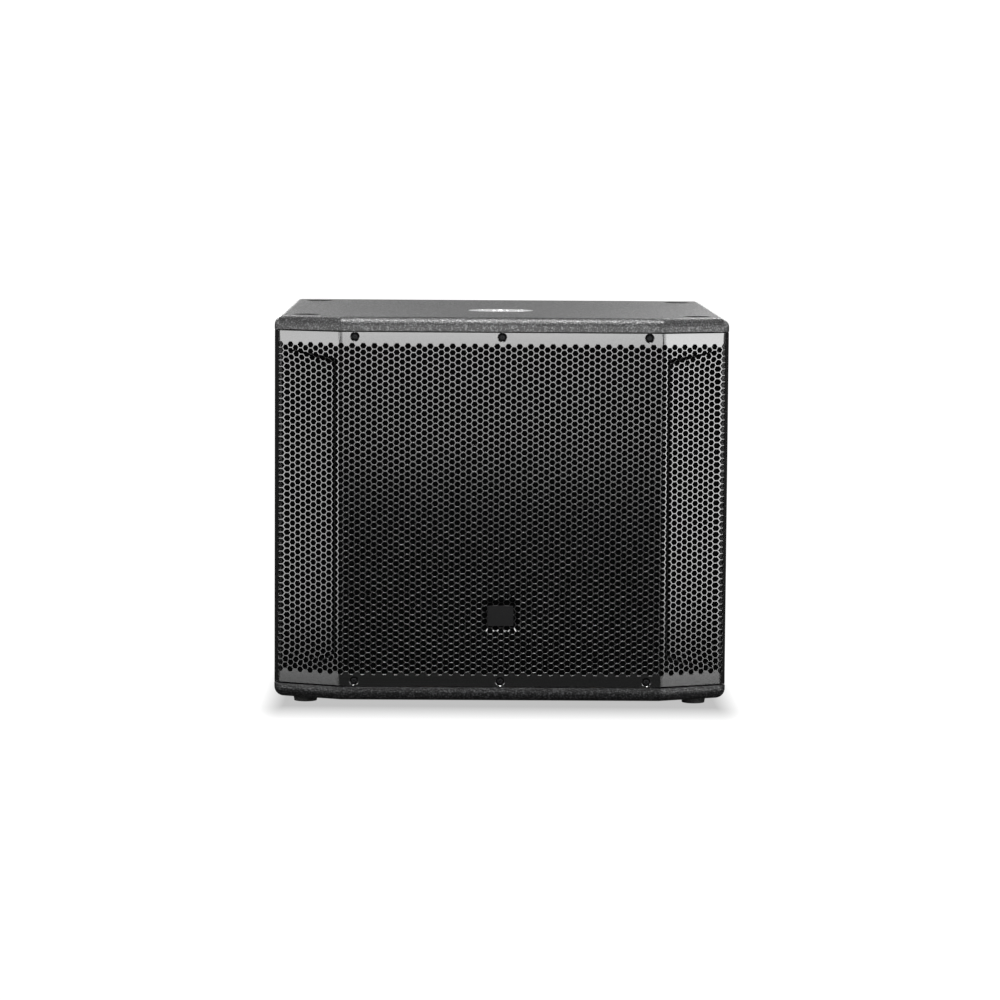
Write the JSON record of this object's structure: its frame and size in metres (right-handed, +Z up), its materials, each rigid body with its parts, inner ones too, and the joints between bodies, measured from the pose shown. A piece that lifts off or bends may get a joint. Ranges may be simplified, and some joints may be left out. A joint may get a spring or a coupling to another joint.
{
  "type": "subwoofer cabinet",
  "caption": "Powered subwoofer cabinet with a faceted perforated steel grille, side pocket handles, a pole socket, stacking cups and a rear amplifier panel.",
  "frame": {"origin": "on the floor under the middle of the cabinet, at the bottom of the rubber feet", "axes": "+Z up, the grille faces -Y, the amplifier faces +Y, +X is to the right of someone facing the grille"},
  "size_m": [0.597, 0.603, 0.513],
  "materials": {
    "textured_coating": "dark grey textured coating over birch plywood",
    "black_ply": "flat black paint over birch plywood",
    "bare_ply": "bare birch plywood",
    "damping_felt": "grey felt wadding",
    "powder_coat": "black powder coat, fine texture",
    "foam": "open-cell foam",
    "black_steel": "black oxide",
    "badge_finish": "satin dark grey",
    "pole_metal": "bright cast aluminium",
    "zinc": "zinc plated",
    "moulded_black": "fine spark texture",
    "foot_rubber": "matte",
    "cast_frame": "black painted casting",
    "motor_steel": "black zinc",
    "ferrite": "ground ferrite",
    "cone_paper": "ribbed pulp",
    "former_film": "glass fibre",
    "copper": "enamelled wire",
    "surround_cloth": "doped cloth",
    "spider_cloth": "resin-soaked cotton",
    "cable_jacket": "matte",
    "amp_paint": "fine black powder coat",
    "zinc_sheet": "zinc plated sheet",
    "circuit_board": "green solder mask",
    "socket_black": "moulded",
    "latch_metal": "bright",
    "power_socket_blue": "moulded",
    "rocker_black": "moulded",
    "knob_black": "soft-touch",
    "bushing_metal": "nickel plated",
    "display_lens": "smoked window",
    "button_grey": "silicone",
    "led_lens": "lens"
  },
  "bodies": {
    "cabinet": {"top_panel": "textured_coating", "bottom_panel": "textured_coating", "left_side_panel": "textured_coating", "right_side_panel": "textured_coating", "back_panel": "textured_coating", "front_baffle": "black_ply", "window_brace": "bare_ply", "port_boards": "black_ply", "grille_battens": "black_ply", "damping_pads": "damping_felt", "grille": "powder_coat", "grille_foam": "foam", "grille_screws": "black_steel", "badge": "badge_finish", "pole_socket": "pole_metal", "pole_socket_screws": "zinc", "stacking_cups": "moulded_black", "rubber_feet": "foot_rubber", "foot_screws": "zinc", "left_handle": "moulded_black", "right_handle": "moulded_black", "handle_screws": "black_steel", "woofer_basket": "cast_frame", "woofer_gasket": "foot_rubber", "woofer_bolts": "zinc", "magnet_front_plate": "motor_steel", "magnet_ring": "ferrite", "magnet_back_plate": "motor_steel", "surround": "surround_cloth", "spider": "spider_cloth", "terminal_strip": "moulded_black", "tinsel_leads": "copper", "speaker_cable": "cable_jacket", "amp_plate": "amp_paint", "amp_tub": "zinc_sheet", "amp_screws": "black_steel", "heat_sink": "amp_paint", "amplifier_board": "circuit_board", "input_sockets": "socket_black", "output_sockets": "socket_black", "power_sockets": "power_socket_blue", "rocker_frame": "moulded_black", "control_bushings": "bushing_metal", "display_window": "display_lens", "status_leds": "led_lens"},
    "cone_assembly": {"cone": "cone_paper", "dust_cap": "cone_paper", "coil_former": "former_film", "voice_coil": "copper"},
    "latch_a": {"latch_tab_a": "latch_metal"},
    "latch_b": {"latch_tab_b": "latch_metal"},
    "rocker": {"power_rocker": "rocker_black"},
    "knob_a": {"gain_knob_a": "knob_black"},
    "knob_b": {"gain_knob_b": "knob_black"},
    "encoder_shaft": {"encoder_plunger": "bushing_metal"},
    "encoder_cap": {"encoder_knob": "knob_black"},
    "button_1": {"menu_button_1": "button_grey"},
    "button_2": {"menu_button_2": "button_grey"},
    "button_3": {"menu_button_3": "button_grey"}
  },
  "joints": [
    {"name": "cone_travel", "type": "slide", "parent": "cabinet", "child": "cone_assembly", "axis": [0, -1, 0], "range_m": [-0.008, 0.008], "stiffness_N_per_m": 8000, "deforming": ["surround", "spider", "tinsel_leads"]},
    {"name": "latch_a_press", "type": "slide", "parent": "cabinet", "child": "latch_a", "axis": [0, -1, 0], "range_m": [0, 0.002], "stiffness_N_per_m": 700, "springref_m": -0.001},
    {"name": "latch_b_press", "type": "slide", "parent": "cabinet", "child": "latch_b", "axis": [0, -1, 0], "range_m": [0, 0.002], "stiffness_N_per_m": 700, "springref_m": -0.001},
    {"name": "power_rock", "type": "hinge", "parent": "cabinet", "child": "rocker", "pos_m": [0.125, 0.2865, 0.157], "axis": [0, 0, 1], "range_deg": [0, 16]},
    {"name": "gain_a_turn", "type": "hinge", "parent": "cabinet", "child": "knob_a", "pos_m": [0.055, 0.2865, 0.277], "axis": [0, 1, 0], "range_deg": [-150, 150]},
    {"name": "gain_b_turn", "type": "hinge", "parent": "cabinet", "child": "knob_b", "pos_m": [0.055, 0.2865, 0.225], "axis": [0, 1, 0], "range_deg": [-150, 150]},
    {"name": "encoder_press", "type": "slide", "parent": "cabinet", "child": "encoder_shaft", "axis": [0, -1, 0], "range_m": [0, 0.001], "stiffness_N_per_m": 700, "springref_m": -0.001},
    {"name": "encoder_turn", "type": "hinge", "parent": "encoder_shaft", "child": "encoder_cap", "pos_m": [0.112, 0.2865, 0.357], "axis": [0, 1, 0], "continuous": true},
    {"name": "button_1_press", "type": "slide", "parent": "cabinet", "child": "button_1", "axis": [0, -1, 0], "range_m": [0, 0.0012], "stiffness_N_per_m": 700, "springref_m": -0.001},
    {"name": "button_2_press", "type": "slide", "parent": "cabinet", "child": "button_2", "axis": [0, -1, 0], "range_m": [0, 0.0012], "stiffness_N_per_m": 700, "springref_m": -0.001},
    {"name": "button_3_press", "type": "slide", "parent": "cabinet", "child": "button_3", "axis": [0, -1, 0], "range_m": [0, 0.0012], "stiffness_N_per_m": 700, "springref_m": -0.001}
  ]
}
